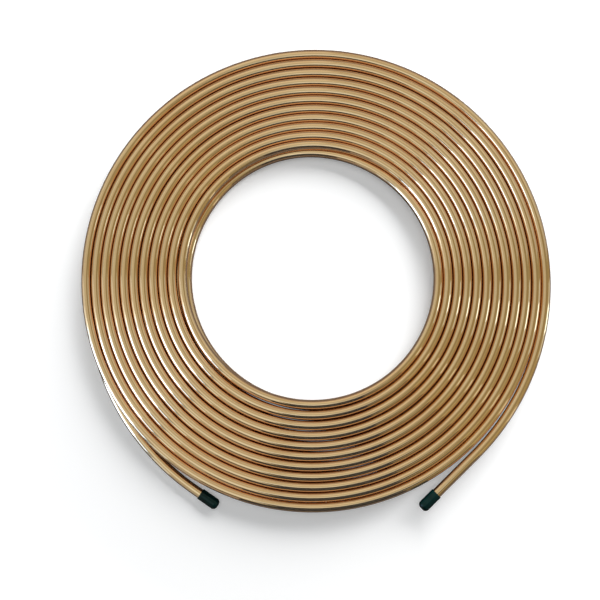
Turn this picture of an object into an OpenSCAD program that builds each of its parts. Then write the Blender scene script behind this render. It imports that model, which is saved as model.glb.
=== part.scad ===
// A coil of soft copper tube, wound flat in two layers and lying as it is laid on a floor.
// The tube starts at the upper tail, winds inward over the upper layer, drops beside the bore
// to the lower layer and winds outward again to the lower tail. Both ends wear a plastic cap.
// Each turn is two half turns about centres a quarter pitch to either side of the axis, so that
// every turn runs on into the next one at the seam. Millimetres, Z up, the axis at the origin.

/* [Tube] */
// Outer diameter of the tube
tube_od = 9.52; // [6:0.02:16]
// Thickness of the tube's wall
tube_wall = 0.8; // [0.5:0.05:1.5]

/* [Winding] */
// Gap between neighbouring turns of a layer
turn_gap = 0.34; // [0.1:0.02:1]
// Radius of the innermost half turn, to the middle of the tube
inner_radius = 130; // [90:1:200]
// Turns in the upper layer
upper_turns = 11; // [4:1:16]
// Turns in the lower layer
lower_turns = 10; // [3:1:15]
// Direction, seen from above, in which the tube is halfway down between the layers
crossover_angle = 60; // [0:5:355]
// Gap between the two layers
layer_gap = 0.2; // [0.1:0.05:0.6]
// How far the core of one layer reaches past its turns, towards the other layer
core_overlap = 1; // [0.5:0.05:2]

/* [Tails] */
// Angle that the outermost upper turn covers before the seam
upper_lead = 46; // [20:1:100]
// How much wider the upper tail curves than the turn it leaves
upper_tail_spread = 8.4; // [2:0.2:30]
// Angle that the upper tail's curve covers
upper_tail_sweep = 60; // [30:1:80]
// Straight stretch of the upper tail, up to the tube's end
upper_tail_length = 70.6; // [40:0.2:150]
// Angle that the outermost lower turn covers after the seam
lower_lead = 97; // [20:1:120]
// How much wider the lower tail curves than the turn it leaves
lower_tail_spread = 19.6; // [4:0.2:30]
// Angle that the lower tail's curve covers
lower_tail_sweep = 79.5; // [60:0.5:110]
// Straight stretch of the lower tail, up to the tube's end
lower_tail_length = 25.6; // [18:0.2:60]

/* [End caps] */
// Length of a cap along the tube
cap_length = 21; // [12:0.5:40]
// Thickness of a cap's wall
cap_wall = 0.8; // [0.5:0.05:1.5]
// Radius of the rounded edge at a cap's closed end
cap_round = 4.2; // [1.5:0.1:4.5]
// Clearance between a cap and the tube, all round
cap_fit = 0.05; // [0.02:0.01:0.2]

/* [Hidden] */
$fn = 96;

half_turn = 180;
quarter_turn = 90;
tube_r = tube_od / 2;
bore_r = tube_r - tube_wall;
pitch = tube_od + turn_gap;
centre_shift = pitch / 4;
lower_z = tube_r;
upper_z = lower_z + tube_od + layer_gap;

// A bare stretch is this much slimmer than the one it runs out of, so that it starts inside
// that stretch's end face.
run_out = 0.02;
tail_r = tube_r - run_out;
tail_end_r = tail_r - run_out;

// Angle by which the upper tail's curve starts early, inside the turn that it leaves.
tail_bite = 1;

// The drop between the layers is a half ring tilted about the seam.
drop = upper_z - lower_z;
drop_radius = norm([inner_radius, drop / 2]);
drop_tilt = atan(drop / 2 / inner_radius);

// Outermost turn of each layer, about the same centre as the innermost one.
upper_lead_radius = inner_radius + upper_turns * pitch;
upper_tail_radius = upper_lead_radius + upper_tail_spread;
lower_lead_radius = inner_radius + lower_turns * pitch;
lower_tail_radius = lower_lead_radius + lower_tail_spread;

// The tube's end stops where the cap's rounded end begins.
cap_bore_r = tube_r + cap_fit;
cap_r = cap_bore_r + cap_wall;
cap_seat = cap_length - cap_round;

// The lower tail rises until its cap clears the floor.
cap_lift = cap_r - tube_r;
tail_tilt = asin(cap_lift / (lower_tail_radius * (1 - cos(lower_tail_sweep))));

copper = "#b8894f";
cap_green = "#12302f";

// A row of turns side by side, with the core that fills the space on their hidden side.
module row_section(first_radius, count, core_from, core_to) {
    for (i = [0 : count - 1])
        translate([first_radius + i * pitch, 0])
            circle(r = tube_r);
    translate([first_radius, core_from])
        square([(count - 1) * pitch, core_to - core_from]);
}

// Half turns of the upper layer, from the given direction on.
module upper_row(centre, start, first_radius, count)
    translate([centre, 0, upper_z])
        rotate([0, 0, start])
            rotate_extrude(angle = half_turn)
                row_section(first_radius, count, -tube_r - core_overlap, 0);

// Half turns of the lower layer, from the given direction on.
module lower_row(centre, start, first_radius, count)
    translate([centre, 0, lower_z])
        rotate([0, 0, start])
            rotate_extrude(angle = half_turn)
                row_section(first_radius, count, 0, tube_r + core_overlap);

// A bent stretch of bare tube about the origin, from +X on.
module tube_arc(radius, sweep, thickness_r = tube_r)
    rotate_extrude(angle = sweep)
        translate([radius, 0])
            circle(r = thickness_r);

// A straight stretch of hollow tube, from the origin along +Y.
module tube_end(length, thickness_r)
    rotate([-quarter_turn, 0, 0])
        linear_extrude(length)
            difference() {
                circle(r = thickness_r);
                circle(r = bore_r);
            }

// Everything in the seam's frame turned to where the seam lies.
module on_seam()
    rotate([0, 0, crossover_angle])
        children();

// Centre of the upper tail's curve, which starts on +X and runs backwards.
module at_upper_tail()
    translate([-centre_shift, 0, upper_z])
        rotate([0, 0, -upper_lead])
            translate([-upper_tail_spread, 0, 0])
                children();

// Where the upper tail's straight stretch starts, running backwards along +Y.
module at_upper_end()
    at_upper_tail()
        rotate([0, 0, -upper_tail_sweep])
            translate([upper_tail_radius, 0, 0])
                rotate([0, 0, half_turn])
                    children();

// Centre of the lower tail's curve, tilted about the tangent at its start on +X.
module at_lower_tail()
    translate([-centre_shift, 0, lower_z])
        rotate([0, 0, lower_lead])
            translate([lower_lead_radius, 0, 0])
                rotate([0, tail_tilt, 0])
                    translate([-lower_tail_radius, 0, 0])
                        children();

// Where the lower tail's straight stretch starts, running on along +Y.
module at_lower_end()
    at_lower_tail()
        rotate([0, 0, lower_tail_sweep])
            translate([lower_tail_radius, 0, 0])
                children();

module upper_layer() {
    upper_row(centre_shift, 0, inner_radius + pitch / 2, upper_turns);
    upper_row(-centre_shift, half_turn, inner_radius + pitch, upper_turns - 1);
    translate([-centre_shift, 0, upper_z]) {
        rotate([0, 0, half_turn])
            tube_arc(inner_radius, quarter_turn);
        mirror([0, 1, 0])
            tube_arc(upper_lead_radius, upper_lead);
    }
    at_upper_tail()
        rotate([0, 0, -upper_tail_sweep])
            tube_arc(upper_tail_radius, upper_tail_sweep + tail_bite, tail_r);
    at_upper_end()
        tube_end(upper_tail_length, tail_end_r);
}

module crossover()
    translate([-centre_shift, 0, (upper_z + lower_z) / 2])
        rotate([-drop_tilt, 0, 0])
            rotate([0, 0, -quarter_turn])
                tube_arc(drop_radius, half_turn, tail_r);

module lower_layer() {
    lower_row(centre_shift, half_turn, inner_radius + pitch / 2, lower_turns);
    lower_row(-centre_shift, 0, inner_radius + pitch, lower_turns - 1);
    translate([-centre_shift, 0, lower_z]) {
        rotate([0, 0, quarter_turn])
            tube_arc(inner_radius, quarter_turn);
        tube_arc(lower_lead_radius, lower_lead);
    }
    at_lower_tail()
        tube_arc(lower_tail_radius, lower_tail_sweep, tail_r);
    at_lower_end()
        tube_end(lower_tail_length, tail_end_r);
}

module copper_tube()
    color(copper)
        on_seam() {
            upper_layer();
            crossover();
            lower_layer();
        }

// Half section of a round-ended plug that stands on its open end.
module round_end_section(radius, length, corner) {
    square([radius, length - corner]);
    square([radius - corner, length]);
    translate([radius - corner, length - corner])
        intersection() {
            circle(r = corner);
            square(corner);
        }
}

// A cup of even wall, from its mouth at the origin along +Y.
module end_cap()
    color(cap_green)
        rotate([-quarter_turn, 0, 0])
            rotate_extrude()
                difference() {
                    round_end_section(cap_r, cap_length, cap_round);
                    round_end_section(cap_bore_r, cap_length - cap_wall, cap_round - cap_wall);
                }

module end_cap_upper()
    on_seam()
        at_upper_end()
            translate([0, upper_tail_length - cap_seat, 0])
                end_cap();

module end_cap_lower()
    on_seam()
        at_lower_end()
            translate([0, lower_tail_length - cap_seat, 0])
                end_cap();

copper_tube();
end_cap_upper();
end_cap_lower();
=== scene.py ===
import bpy
import numpy as np
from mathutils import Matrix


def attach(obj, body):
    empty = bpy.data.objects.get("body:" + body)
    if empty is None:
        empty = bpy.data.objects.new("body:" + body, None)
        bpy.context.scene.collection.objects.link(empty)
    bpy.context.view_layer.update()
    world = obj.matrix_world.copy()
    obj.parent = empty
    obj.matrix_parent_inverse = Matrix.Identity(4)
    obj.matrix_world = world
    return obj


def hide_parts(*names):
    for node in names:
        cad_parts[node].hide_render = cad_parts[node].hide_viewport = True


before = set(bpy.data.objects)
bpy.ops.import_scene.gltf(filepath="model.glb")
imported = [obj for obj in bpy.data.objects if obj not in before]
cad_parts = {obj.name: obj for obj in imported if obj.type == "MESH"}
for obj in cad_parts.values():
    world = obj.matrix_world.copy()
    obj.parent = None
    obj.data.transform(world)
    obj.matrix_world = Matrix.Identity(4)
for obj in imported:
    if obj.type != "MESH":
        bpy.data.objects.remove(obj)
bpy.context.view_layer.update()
print("frame loaded:", ", ".join(sorted(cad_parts)))

fullTurn = 360.0
quarterTurn = 90.0
crispEdge = np.radians(40)      # edges that fold by more than this stay sharp


def link(obj):
    bpy.context.scene.collection.objects.link(obj)
    return obj


def meshFromRings(name, rings):
    # rings[i, j] is point j of ring i: quads join neighbours in both directions, and one flat face closes
    # each end. Rings turn anticlockwise seen along the path, and in this order all faces look outwards.
    rows, sides = rings.shape[:2]
    index = np.arange(rows * sides).reshape(rows, sides)
    near, far = index[:-1], index[1:]
    quads = np.stack([near, far, np.roll(far, -1, 1), np.roll(near, -1, 1)], -1).reshape(-1, 4)
    faces = quads.tolist() + [index[0].tolist(), index[-1, ::-1].tolist()]
    mesh = bpy.data.meshes.new(name)
    mesh.from_pydata(rings.reshape(-1, 3).tolist(), [], faces)
    mesh.polygons.foreach_set("use_smooth", np.ones(len(faces), bool))
    mesh.set_sharp_from_angle(angle=crispEdge)
    return link(bpy.data.objects.new(name, mesh))


def ringAngles(sides):
    # equal steps round a ring, from its underside on
    return np.arange(sides) * 2 * np.pi / sides - np.pi / 2


def surfaceCoords(obj, distance, radius, around):
    # place on the unrolled tube: metres along it, then r cos t across and r sin t up from its middle
    acrossTube = radius[:, None] * np.cos(around)
    upTube = radius[:, None] * np.sin(around)
    coords = np.stack(np.broadcast_arrays(distance[:, None], acrossTube, upTube), -1)
    layer = obj.data.attributes.new("tubeCoord", "FLOAT_VECTOR", "POINT")
    layer.data.foreach_set("vector", coords.reshape(-1).astype(np.float32))


def across(path):
    # unit vectors to the side and up, square to the path's own direction
    along = np.gradient(path, axis=0)
    along /= np.linalg.norm(along, axis=1, keepdims=True)
    side = np.cross(along, [0.0, 0.0, 1.0])
    side /= np.linalg.norm(side, axis=1, keepdims=True)
    return along, side, np.cross(side, along)


# the tube's winding, metres and degrees
coil = {
    "radius": 0.00476,
    "wall": 0.0008,
    "turnGap": 0.00034,     # between neighbouring turns of a layer
    "layerGap": 0.0002,     # between the two layers
    "innerRadius": 0.130,
    "upperTurns": 11,
    "lowerTurns": 10,
    "seam": 60.0,           # direction in which the tube is halfway down
    "seamRound": 0.12,      # turns over which the spiral changes from inward to outward
    "upperLead": 46.0,      # what the outermost turn of each layer covers beyond the seam
    "lowerLead": 97.0,
    "upperTail": {"spread": 0.0084, "sweep": 60.0, "straight": 0.0706, "lift": 0.0},
    "lowerTail": {"spread": 0.0196, "sweep": 79.5, "straight": 0.0256, "lift": 0.00085},
    "mouthDepth": 0.016,
    "ringsPerTurn": 158,
    "sides": 24,
    "tailArc": (1.5, 48),           # first step and number of rings on a tail's arc
    "tailStraight": (0.004, 14),    # the same on its straight end
    "waves": ((0.00004, 0.37, 0.4), (0.00002, 1.7, 1.1)),   # height, waves in a turn and start of each
    "oval": 0.00055,        # wider from front to back than from side to side
    "drift": 0.00006,       # each turn outwards sits this much nearer the front
    "nearer": 0.00085,      # and the upper turns in the middle sit this much nearer still
    "nearerTurns": ((0.0, 4.5, 8.0, 11.0), (0.0, 1.0, 1.0, 0.0)),   # turns, and their share of it
    "flatSide": (222.0, 100.0, 0.0015),     # direction, half width and depth of the side that is pressed in
    "flatInside": 0.0012,                   # how much deeper the innermost turn is pressed in there
    "flatInsideTurns": ((0.8, 1.3, 11.0), (1.0, 0.3, 0.0)),     # turns, and their share of it
    "tucked": (105.0, 48.0, 0.0014),        # direction, half width and depth of the drop under the next turn
    "tuckedFrom": -60.0,                    # degrees of winding at which that starts
    "tuckedRoom": (400.0, 3300.0),          # and between which turns make ever less room for it
    "looseSide": (150.0, 90.0),             # direction and half width of the side where some gaps stand open
    "openGaps": {1: 0.00030, 6: 0.00035, 10: 0.00020},      # gap from the outside, and how far it opens
    "beside": (0.9, 0.7, 5.0),      # inner and outer turns without two neighbours, and the rise in a turn
}
pitch = 2 * coil["radius"] + coil["turnGap"]
rise = 2 * coil["radius"] + coil["layerGap"]    # from the lower layer up to the upper one


def windingRadius(turns):
    # Archimedean spiral: inner radius - pitch / 4 + pitch * turns, rounded off where it changes direction
    return coil["innerRadius"] - pitch / 4 + pitch * np.hypot(turns, coil["seamRound"])


def turnShifts():
    # how far each upper turn moves out on the loose side, outermost first: the open gaps push it out,
    # and the other gaps close evenly to make room
    gaps = np.arange(1, coil["upperTurns"])
    opened = np.array([coil["openGaps"].get(int(gap), 0.0) for gap in gaps])
    closing = opened.sum() / np.sum(opened == 0)
    change = np.where(opened > 0, opened, -closing)
    return np.append(np.cumsum(change[::-1])[::-1], 0.0)


def onSide(bearing, middle, half):
    # 1 in the middle of a side, falling smoothly to 0 at its two ends
    return np.clip(1 - ((bearing - middle) / half) ** 2, 0, 1) ** 2


def handWound(degrees):
    # small unevenness of a coil wound by hand: two slow waves, an oval, a drift towards the front that is
    # largest in the upper layer's middle turns, a side that is pressed in, the drop tucked under the next
    # turn, and turns that stand loose on one side
    phase = np.radians(degrees)
    facing = np.radians(degrees + coil["seam"])
    bearing = (degrees + coil["seam"]) % fullTurn
    turns = np.abs(degrees) / fullTurn
    offset = sum(size * np.sin(rate * phase + start) for size, rate, start in coil["waves"])
    nearer = np.where(degrees < 0, np.interp(turns, *coil["nearerTurns"]), 0)
    forward = coil["drift"] * turns + coil["nearer"] * nearer
    offset = offset - coil["oval"] * np.cos(2 * facing) - forward * np.sin(facing)
    middle, half, depth = coil["flatSide"]
    depth = depth + coil["flatInside"] * np.interp(turns, *coil["flatInsideTurns"])
    offset = offset - depth * onSide(bearing, middle, half)
    middle, half, depth = coil["tucked"]
    full, none = coil["tuckedRoom"]
    room = np.where(degrees < coil["tuckedFrom"], 0, np.clip((none - degrees) / (none - full), 0, 1))
    offset = offset + depth * room * onSide(bearing, middle, half)
    shifts = turnShifts()
    number = np.floor((degrees - outerZero) / fullTurn).astype(int)
    number = np.clip(np.where(degrees < 0, number, len(shifts)), 0, len(shifts) - 1)
    return offset + shifts[number] * onSide(bearing, *coil["looseSide"])


# degrees of winding: below zero in the upper layer, zero at the seam, above zero in the lower layer
outerZero = -(fullTurn * coil["upperTurns"] + coil["seam"])     # turns count from +X, outermost first
windFrom = -(fullTurn * coil["upperTurns"] + coil["upperLead"])
windTo = fullTurn * coil["lowerTurns"] + coil["lowerLead"]
winding = np.linspace(windFrom, windTo, int((windTo - windFrom) / fullTurn * coil["ringsPerTurn"]))
heading = np.radians(winding + coil["seam"])
reach = windingRadius(np.abs(winding) / fullTurn) + handWound(winding)
drop = np.sin(np.radians(np.clip(winding, -quarterTurn, quarterTurn)))
height = coil["radius"] + rise * (1 - drop) / 2
body = np.stack([reach * np.cos(heading), reach * np.sin(heading), height], 1)


def tailPath(start, degrees, way, tail):
    # a wider arc that leaves the winding along its tangent, then a straight end; way is 1 onwards and -1
    # backwards: point = start + R ((cos t - 1) outward + sin t onward), lifted by (1 - cos t)
    facing = np.radians(degrees + coil["seam"])
    outward = np.array([np.cos(facing), np.sin(facing), 0])
    onward = way * np.array([-np.sin(facing), np.cos(facing), 0])
    radius = windingRadius(abs(degrees) / fullTurn) + tail["spread"]
    first, count = coil["tailArc"]
    sweep = np.radians(np.linspace(first, tail["sweep"], count))
    last = sweep[-1]
    arc = start + radius * ((np.cos(sweep)[:, None] - 1) * outward + np.sin(sweep)[:, None] * onward)
    arc[:, 2] += tail["lift"] * (1 - np.cos(sweep)) / (1 - np.cos(last))
    ahead = np.cos(last) * onward - np.sin(last) * outward
    ahead[2] = tail["lift"] * np.sin(last) / (1 - np.cos(last)) / radius
    first, count = coil["tailStraight"]
    straight = arc[-1] + ahead * np.linspace(first, tail["straight"], count)[:, None]
    return np.concatenate([arc, straight])


upperTail = tailPath(body[0], windFrom, -1, coil["upperTail"])
lowerTail = tailPath(body[-1], windTo, 1, coil["lowerTail"])
path = np.concatenate([upperTail[::-1], body, lowerTail])
length = np.concatenate([[0], np.cumsum(np.linalg.norm(np.diff(path, axis=0), axis=1))])
along, side, up = across(path)

# profile carried along the path: point = path + r (side cos t + up sin t), with an open mouth at each end
tubeAngles = ringAngles(coil["sides"])
rows = np.concatenate([[0, 0], np.arange(len(path)), [len(path) - 1] * 2])
inward = np.zeros(len(rows))
inward[0], inward[-1] = coil["mouthDepth"], -coil["mouthDepth"]
ringRadius = np.full(len(rows), coil["radius"])
ringRadius[[0, 1, -2, -1]] = coil["radius"] - coil["wall"]
crossing = side[rows, None] * np.cos(tubeAngles)[:, None] + up[rows, None] * np.sin(tubeAngles)[:, None]
rings = path[rows, None] + along[rows, None] * inward[:, None, None] + crossing * ringRadius[:, None, None]
tube = meshFromRings("copperTube", rings)
surfaceCoords(tube, length[rows] + inward, ringRadius, tubeAngles)

# 1 on the turns that have a neighbour on both sides, 0 on the outermost and innermost ones and on the tails;
# it limits the painted shade between turns
wound = np.concatenate([np.full(len(upperTail), windFrom), winding, np.full(len(lowerTail), windTo)])
turnNumber = np.abs(wound) / fullTurn
ends = np.where(np.concatenate([[0], np.diff(turnNumber)]) < 0, coil["upperTurns"], coil["lowerTurns"])
inner, outer, slope = coil["beside"]
beside = np.clip(np.minimum(turnNumber - inner, ends - outer - turnNumber) * slope, 0, 1)
layer = tube.data.attributes.new("beside", "FLOAT", "POINT")
layer.data.foreach_set("value", np.repeat(beside[rows], coil["sides"]).astype(np.float32))
print("copper tube:", len(path), "rings,", round(float(length[-1]), 3), "m of tube")

# the plastic cap pushed over each end, metres
cap = {
    "length": 0.021,
    "wall": 0.0008,
    "clearance": 0.00005,
    "endRound": 0.0042,
    "endArc": 86.0,         # degrees of the rounded end, up to its flat middle
    "endFlat": 0.00001,     # how far that middle lies below the full length
    "tip": 0.0004,          # radius of the face that closes it, inside and out
    "lip": 0.0003,
    "wallRings": (0.004, 0.010),    # distances from the mouth at which the straight wall has rings
    "insideRings": 7,
    "lipRings": 5,
    "endRings": 12,
    "sides": 48,
}
capBore = coil["radius"] + cap["clearance"]
capRadius = capBore + cap["wall"]
capSeat = cap["length"] - cap["endRound"]       # how much of the tube it covers


def cornerArc(centreX, centreY, radius, start, stop, count):
    # arc of a circle: point = centre + radius (cos a, sin a)
    angles = np.radians(np.linspace(start, stop, count))
    return np.stack([centreX + radius * np.cos(angles), centreY + radius * np.sin(angles)], 1)


def capPiece(name, end, axis):
    # turned cup: profile of (radius, distance from the mouth) carried round the tube's axis,
    # from the inside of the floor over the lip and along the outside to the middle of the rounded end
    lip, tip, endRound = cap["lip"], cap["tip"], cap["endRound"]
    low, high = cap["wallRings"]
    deep = cap["length"] - cap["wall"]
    insideRound = endRound - cap["wall"]
    profile = np.concatenate([
        [[tip, deep]],
        cornerArc(capBore - insideRound, deep - insideRound, insideRound, 90, 0, cap["insideRings"]),
        [[capBore, high], [capBore, low]],
        cornerArc(capBore + lip, lip, lip, 180, 270, cap["lipRings"]),
        cornerArc(capRadius - lip, lip, lip, 270, 360, cap["lipRings"]),
        [[capRadius, low], [capRadius, high]],
        cornerArc(capRadius - endRound, capSeat, endRound, 0, cap["endArc"], cap["endRings"]),
        [[tip, cap["length"] - cap["endFlat"]]],
    ])
    axis = axis / np.linalg.norm(axis)
    side = np.cross(axis, [0.0, 0.0, 1.0])
    side /= np.linalg.norm(side)
    top = np.cross(side, axis)
    capAngles = ringAngles(cap["sides"])
    ring = side * np.cos(capAngles)[:, None] + top * np.sin(capAngles)[:, None]
    mouth = end - axis * capSeat
    piece = meshFromRings(name, mouth + axis * profile[:, 1, None, None] + ring * profile[:, 0, None, None])
    surfaceCoords(piece, profile[:, 1], profile[:, 0], capAngles)
    return piece


upperCap = capPiece("endCapUpper", path[0], -along[0])
lowerCap = capPiece("endCapLower", path[-1], along[-1])
print("end caps: 2 cups over the tube's ends")


def newMaterial(name):
    mat = bpy.data.materials.new(name)
    mat.use_nodes = True
    nodes = mat.node_tree.nodes
    return mat, nodes, mat.node_tree.links, nodes["Principled BSDF"]


def multiply(nodes, links, first, second):
    node = nodes.new("ShaderNodeMath")
    node.operation = "MULTIPLY"
    links.new(first, node.inputs[0])
    links.new(second, node.inputs[1])
    return node.outputs[0]


# the marks that copper and plastic share
marksLook = {
    "streakDetail": 3.0,
    "patchDetail": 4.0,
    "patchRoughness": 0.55,
    "patchHeight": 0.6,         # how much the patches add to the height, against 1 for the streaks
    "noiseRange": (0.3, 0.7),   # where most of the noise lies
}


def drawnMarks():
    # streaks along a drawn or moulded surface and soft patches of handling, both from 0 to 1
    group = bpy.data.node_groups.new("drawnMarks", "ShaderNodeTree")
    group.interface.new_socket("Coord", in_out="INPUT", socket_type="NodeSocketVector")
    for name in ("Lines", "Line Length", "Patches"):
        group.interface.new_socket(name, in_out="INPUT", socket_type="NodeSocketFloat")
    for name in ("Streaks", "Patch", "Height"):
        group.interface.new_socket(name, in_out="OUTPUT", socket_type="NodeSocketFloat")
    nodes, links = group.nodes, group.links
    start, end = nodes.new("NodeGroupInput"), nodes.new("NodeGroupOutput")
    parts = nodes.new("ShaderNodeSeparateXYZ")
    links.new(start.outputs["Coord"], parts.inputs[0])
    # streaks: noise squeezed across the tube and stretched along it
    stretched = nodes.new("ShaderNodeCombineXYZ")
    for axis, scale in (("X", "Line Length"), ("Y", "Lines"), ("Z", "Lines")):
        scaled = multiply(nodes, links, parts.outputs[axis], start.outputs[scale])
        links.new(scaled, stretched.inputs[axis])
    streaks = nodes.new("ShaderNodeTexNoise")
    streaks.inputs["Scale"].default_value = 1.0
    streaks.inputs["Detail"].default_value = marksLook["streakDetail"]
    links.new(stretched.outputs[0], streaks.inputs["Vector"])
    patch = nodes.new("ShaderNodeTexNoise")
    patch.inputs["Detail"].default_value = marksLook["patchDetail"]
    patch.inputs["Roughness"].default_value = marksLook["patchRoughness"]
    links.new(start.outputs["Coord"], patch.inputs["Vector"])
    links.new(start.outputs["Patches"], patch.inputs["Scale"])
    both = nodes.new("ShaderNodeMath")
    both.operation = "MULTIPLY_ADD"
    both.inputs[1].default_value = marksLook["patchHeight"]
    links.new(patch.outputs["Fac"], both.inputs[0])
    links.new(streaks.outputs["Fac"], both.inputs[2])
    links.new(streaks.outputs["Fac"], end.inputs["Streaks"])
    links.new(patch.outputs["Fac"], end.inputs["Patch"])
    links.new(both.outputs[0], end.inputs["Height"])
    return group


marks = drawnMarks()


def attribute(nodes, name):
    node = nodes.new("ShaderNodeAttribute")
    node.attribute_name = name
    return node


def placeMarks(nodes, links, values):
    group = nodes.new("ShaderNodeGroup")
    group.node_tree = marks
    links.new(attribute(nodes, "tubeCoord").outputs["Vector"], group.inputs["Coord"])
    for name, value in values.items():
        group.inputs[name].default_value = value
    return group


def ramp(nodes, links, source, stops):
    node = nodes.new("ShaderNodeValToRGB")
    while len(node.color_ramp.elements) < len(stops):
        node.color_ramp.elements.new(0.5)
    for element, (place, colour) in zip(node.color_ramp.elements, stops):
        element.position = place
        element.color = (*colour, 1.0)
    links.new(source, node.inputs["Fac"])
    return node.outputs["Color"]


def mapRange(nodes, links, source, before, after):
    node = nodes.new("ShaderNodeMapRange")
    node.inputs["From Min"].default_value, node.inputs["From Max"].default_value = before
    node.inputs["To Min"].default_value, node.inputs["To Max"].default_value = after
    links.new(source, node.inputs["Value"])
    return node.outputs["Result"]


def flanks(nodes, links, start, full, most):
    # mask of the painted shade between turns: 0 on the crown of a turn, rising to the most on the flanks
    # that touch the turns beside it
    parts = nodes.new("ShaderNodeSeparateXYZ")
    links.new(attribute(nodes, "tubeCoord").outputs["Vector"], parts.inputs[0])
    fromMiddle = nodes.new("ShaderNodeMath")
    fromMiddle.operation = "ABSOLUTE"
    links.new(parts.outputs["Y"], fromMiddle.inputs[0])
    share = mapRange(nodes, links, fromMiddle.outputs[0], (start, full), (0.0, most))
    return multiply(nodes, links, share, attribute(nodes, "beside").outputs["Fac"])


def bump(nodes, links, height, strength, distance):
    node = nodes.new("ShaderNodeBump")
    node.inputs["Strength"].default_value = strength
    node.inputs["Distance"].default_value = distance
    links.new(height, node.inputs["Height"])
    return node.outputs["Normal"]


# bright drawn copper with a golden satin sheen
copperLook = {
    "colours": ((0.30, (0.90, 0.60, 0.395)), (0.52, (0.92, 0.635, 0.43)), (0.72, (0.94, 0.67, 0.465))),
    "roughness": (0.04, 0.08),
    "grooveShade": (0.55, 0.27, 0.13, 1.0),     # painted shade where turns touch
    "flanks": (0.0038, 0.0046, 0.6),        # where the painted shade starts and is full, from the middle, and its strength
    "marks": {"Lines": 900.0, "Line Length": 9.0, "Patches": 26.0},
    "bump": (0.10, 0.00002),
}
copper, nodes, links, shader = newMaterial("drawnCopper")
group = placeMarks(nodes, links, copperLook["marks"])
shader.inputs["Metallic"].default_value = 1.0
# painted shade: the copper's colour turns dark brown on the flanks where turns touch
mix = nodes.new("ShaderNodeMix")
mix.data_type = "RGBA"
links.new(flanks(nodes, links, *copperLook["flanks"]), mix.inputs["Factor"])
links.new(ramp(nodes, links, group.outputs["Patch"], copperLook["colours"]), mix.inputs["A"])
mix.inputs["B"].default_value = copperLook["grooveShade"]
links.new(mix.outputs["Result"], shader.inputs["Base Color"])
sheen = mapRange(nodes, links, group.outputs["Streaks"], marksLook["noiseRange"], copperLook["roughness"])
links.new(sheen, shader.inputs["Roughness"])
links.new(bump(nodes, links, group.outputs["Height"], *copperLook["bump"]), shader.inputs["Normal"])
tube.data.materials.append(copper)

# glossy dip-moulded plastic, very dark green
capLook = {
    "colours": ((0.3, (0.0006, 0.012, 0.012)), (0.7, (0.001, 0.019, 0.018))),
    "roughness": (0.1, 0.2),
    "specular": 0.2,
    "marks": {"Lines": 700.0, "Line Length": 160.0, "Patches": 180.0},
    "bump": (0.12, 0.00003),
}
capPlastic, nodes, links, shader = newMaterial("capPlastic")
shader.inputs["Specular IOR Level"].default_value = capLook["specular"]
group = placeMarks(nodes, links, capLook["marks"])
links.new(ramp(nodes, links, group.outputs["Patch"], capLook["colours"]), shader.inputs["Base Color"])
sheen = mapRange(nodes, links, group.outputs["Patch"], marksLook["noiseRange"], capLook["roughness"])
links.new(sheen, shader.inputs["Roughness"])
links.new(bump(nodes, links, group.outputs["Height"], *capLook["bump"]), shader.inputs["Normal"])
for piece in (upperCap, lowerCap):
    piece.data.materials.append(capPlastic)
print("materials: drawn copper and cap plastic")

# every piece moves with the one body and stands for its solid
for piece, node, slot in ((tube, "copper_tube", "copper"), (upperCap, "end_cap_upper", "cap_plastic"),
                          (lowerCap, "end_cap_lower", "cap_plastic")):
    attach(piece, "root")
    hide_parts(node)


def flatSheet(name, corners, height, material):
    # one level rectangle
    mesh = bpy.data.meshes.new(name)
    mesh.from_pydata([(x, y, height) for x, y in corners], [], [(0, 1, 2, 3)])
    mesh.materials.append(material)
    return link(bpy.data.objects.new(name, mesh))


def colourByRay(nodes, links, ray, usual, special):
    # one colour for a kind of ray, another for the rest
    rays = nodes.new("ShaderNodeLightPath")
    pick = nodes.new("ShaderNodeMix")
    pick.data_type = "RGBA"
    pick.inputs["A"].default_value = usual
    pick.inputs["B"].default_value = special
    links.new(rays.outputs[ray], pick.inputs["Factor"])
    return pick.outputs["Result"]


# pale floor
floorLook = {
    "half": 4.0,
    "colour": (0.86, 0.86, 0.86, 1.0),
    "mirrored": (0.19, 0.17, 0.15, 1.0),    # in reflections, so that its pale glow stays out of the rims
    "roughness": 0.75,
    "specular": 0.2,
    "glowColour": (1.0, 1.0, 1.0, 1.0),
    "glow": (0.25, 1.0),        # towards the camera: near the coil, so that shadows stay light, and far off
    "glowReach": (0.34, 0.8),   # distances from the middle between which it rises
}
floorMat, nodes, links, shader = newMaterial("paleFloor")
floorColour = colourByRay(nodes, links, "Is Glossy Ray", floorLook["colour"], floorLook["mirrored"])
links.new(floorColour, shader.inputs["Base Color"])
away = nodes.new("ShaderNodeVectorMath")
away.operation = "LENGTH"
links.new(nodes.new("ShaderNodeTexCoord").outputs["Object"], away.inputs[0])
glow = mapRange(nodes, links, away.outputs["Value"], floorLook["glowReach"], floorLook["glow"])
cameraRay = nodes.new("ShaderNodeLightPath").outputs["Is Camera Ray"]
links.new(multiply(nodes, links, cameraRay, glow), shader.inputs["Emission Strength"])
shader.inputs["Emission Color"].default_value = floorLook["glowColour"]
shader.inputs["Roughness"].default_value = floorLook["roughness"]
shader.inputs["Specular IOR Level"].default_value = floorLook["specular"]
half = floorLook["half"]
floor = flatSheet("floor", [(-half, -half), (half, -half), (half, half), (-half, half)], 0, floorMat)

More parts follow.
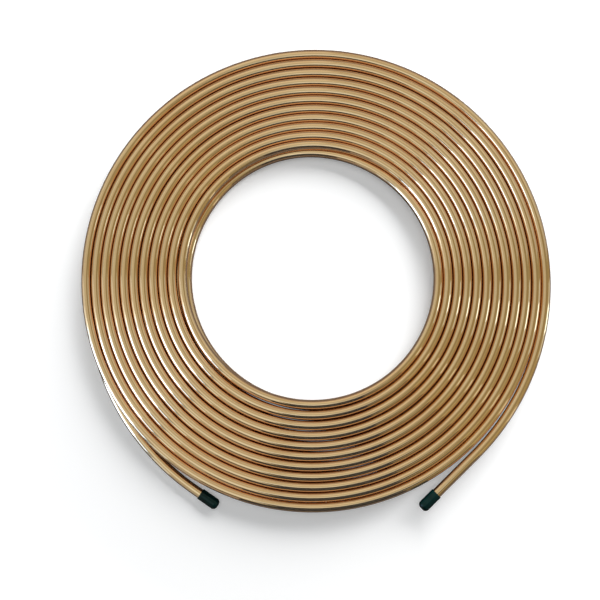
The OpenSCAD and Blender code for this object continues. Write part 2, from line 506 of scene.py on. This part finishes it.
# the studio: a ring of wall panels, a ceiling and a dark card over the front, which are seen in reflections
# only, and two lamps that give no reflection and light the floor and the plastic
olive, brown, sand, rust = (1.0, 0.89, 0.36), (1.0, 0.9, 0.64), (0.95, 1.0, 0.79), (1.0, 0.35, 0.13)
pale, daylight, sky, white = (0.86, 1.0, 0.97), (0.62, 0.88, 1.0), (0.42, 0.65, 1.0), (1.0, 1.0, 1.0)
studio = {
    "distance": 0.9,
    "step": 0.002,      # between panels, so that those that overlap add up
    "walls": {      # from and to in degrees, foot and top in metres, brightness, colour
        "rightFar": ((296, 318), (0.03, 0.9), 0.1, olive),
        "right": ((318, 372), (0.03, 1.0), 0.3, olive),
        "backRight": ((12, 54), (0.03, 1.0), 0.45, sand),
        "backCorner": ((54, 66), (0.15, 1.0), 0.36, brown),
        "back": ((66, 136), (0.42, 1.0), 0.42, brown),
        "backLow": ((66, 136), (0.2, 0.42), 0.3, brown),
        "backFoot": ((60, 136), (0.03, 0.2), 0.08, rust),
        "left": ((136, 187), (0.16, 1.0), 0.44, sand),
        "leftFoot": ((142, 187), (0.03, 0.16), 0.13, brown),
        "besideWindow": ((174, 187), (0.03, 1.0), 0.26, pale),
        "frontLeft": ((222, 238), (0.03, 0.8), 0.36, sand),
        "frontLeftFar": ((238, 250), (0.03, 0.5), 0.3, brown),
        "window": ((191, 215), (0.03, 0.5), 4.4, sky),
        "windowRim": ((187, 220), (0.03, 0.53), 1.8, sky),
        "windowSides": ((182, 228), (0.03, 0.6), 0.55, daylight),
        "windowTop": ((184, 214), (0.52, 0.85), 1.25, daylight),
        "windowArch": ((186, 212), (0.85, 1.2), 0.7, daylight),
        "narrowWindow": ((352, 359), (0.04, 0.46), 1.7, daylight),
        "narrowSides": ((346, 365), (0.04, 0.6), 0.45, daylight),
        "slit": ((328.5, 333), (0.04, 0.55), 0.47, pale),
    },
    "ceilingHeight": 1.0,
    "ceiling": {    # middle, size, brightness, colour
        "whole": ((0.0, 0.0), (2.0, 2.0), 0.27, olive),
        "leftHalf": ((-0.475, 0.15), (1.05, 1.7), 0.26, pale),
        "backRight": ((0.5, 0.65), (0.8, 0.7), 0.18, pale),
        "back": ((-0.05, 0.7), (0.8, 0.7), 0.14, brown),
        "front": ((-0.1, -0.42), (0.7, 0.6), 0.38, daylight),
    },
    "card": {"x": (-0.1, 0.26), "y": (-1.0, -0.28), "z": 0.5, "colour": (0.09, 0.1, 0.1, 1.0),
             "roughness": 1.0, "specular": 0.0},
    # the key stands behind on the right, the fill hangs overhead
    "key": {"place": (1.61, 2.79, 1.37), "size": (3.6, 2.4), "brightness": 11.1},
    "fill": {"place": (0.0, 0.0, 3.0), "size": (3.0, 3.0), "brightness": 0.9},
    "surround": (0.045, 0.052, 0.058, 1.0),
    "backdrop": (1.0, 1.0, 1.0, 1.0),
}


def panel(name, place, size, rotation, brightness, colour):
    # a rectangular lamp of even brightness: power = brightness * pi * area
    light = bpy.data.lights.new(name, "AREA")
    light.shape = "RECTANGLE"
    light.size, light.size_y = size
    light.energy = brightness * np.pi * size[0] * size[1]
    light.color = colour
    obj = link(bpy.data.objects.new(name, light))
    obj.location = place
    obj.rotation_euler = rotation
    obj.visible_camera = False
    return obj


for level, (name, (span, heights, brightness, colour)) in enumerate(studio["walls"].items()):
    bearing = np.radians(sum(span) / 2)
    distance = studio["distance"] + level * studio["step"]
    size = (2 * distance * np.tan(np.radians(span[1] - span[0]) / 2), heights[1] - heights[0])
    place = (distance * np.cos(bearing), distance * np.sin(bearing), sum(heights) / 2)
    lamp = panel(name, place, size, (np.pi / 2, 0, bearing + np.pi / 2), brightness, colour)
    lamp.visible_diffuse = False
for level, (name, (middle, size, brightness, colour)) in enumerate(studio["ceiling"].items()):
    place = (*middle, studio["ceilingHeight"] + level * studio["step"])
    lamp = panel(name + "Ceiling", place, size, (0, 0, 0), brightness, colour)
    lamp.visible_diffuse = False
for name in ("key", "fill"):
    x, y, z = studio[name]["place"]
    rotation = (np.arctan2(np.hypot(x, y), z), 0, np.arctan2(y, x) + np.pi / 2)
    lamp = panel(name, (x, y, z), studio[name]["size"], rotation, studio[name]["brightness"], white)
    lamp.visible_glossy = False

card = studio["card"]
left, right = card["x"]
near, far = card["y"]
cardMat, nodes, links, shader = newMaterial("darkCard")
shader.inputs["Base Color"].default_value = card["colour"]
shader.inputs["Roughness"].default_value = card["roughness"]
shader.inputs["Specular IOR Level"].default_value = card["specular"]
cardCorners = [(left, near), (left, far), (right, far), (right, near)]
darkCard = flatSheet("darkCard", cardCorners, card["z"], cardMat)
for seenBy in ("camera", "diffuse", "shadow", "transmission"):
    setattr(darkCard, "visible_" + seenBy, False)

# dim surround for the reflections, white where the camera looks past the floor
world = bpy.data.worlds.new("surround")
world.use_nodes = True
nodes, links = world.node_tree.nodes, world.node_tree.links
worldColour = colourByRay(nodes, links, "Is Camera Ray", studio["surround"], studio["backdrop"])
links.new(worldColour, nodes["Background"].inputs["Color"])
bpy.context.scene.world = world
bpy.context.scene.view_settings.view_transform = "Standard"

# camera above the coil, as the photograph was taken
lens = {
    "place": (0.00471, -0.09407, 0.671),
    "tilt": (0.1037, 0.0242),
    "focal": 39.0,
    "sensor": 36.0,
    "nearest": 0.01,
}
cameraData = bpy.data.cameras.new("camera")
cameraData.lens = lens["focal"]
cameraData.sensor_width = lens["sensor"]
cameraData.clip_start = lens["nearest"]
camera = link(bpy.data.objects.new("camera", cameraData))
camera.location = lens["place"]
camera.rotation_mode = "YXZ"
camera.rotation_euler = (*lens["tilt"], 0)
bpy.context.scene.camera = camera
print("floor, lights and camera in place")
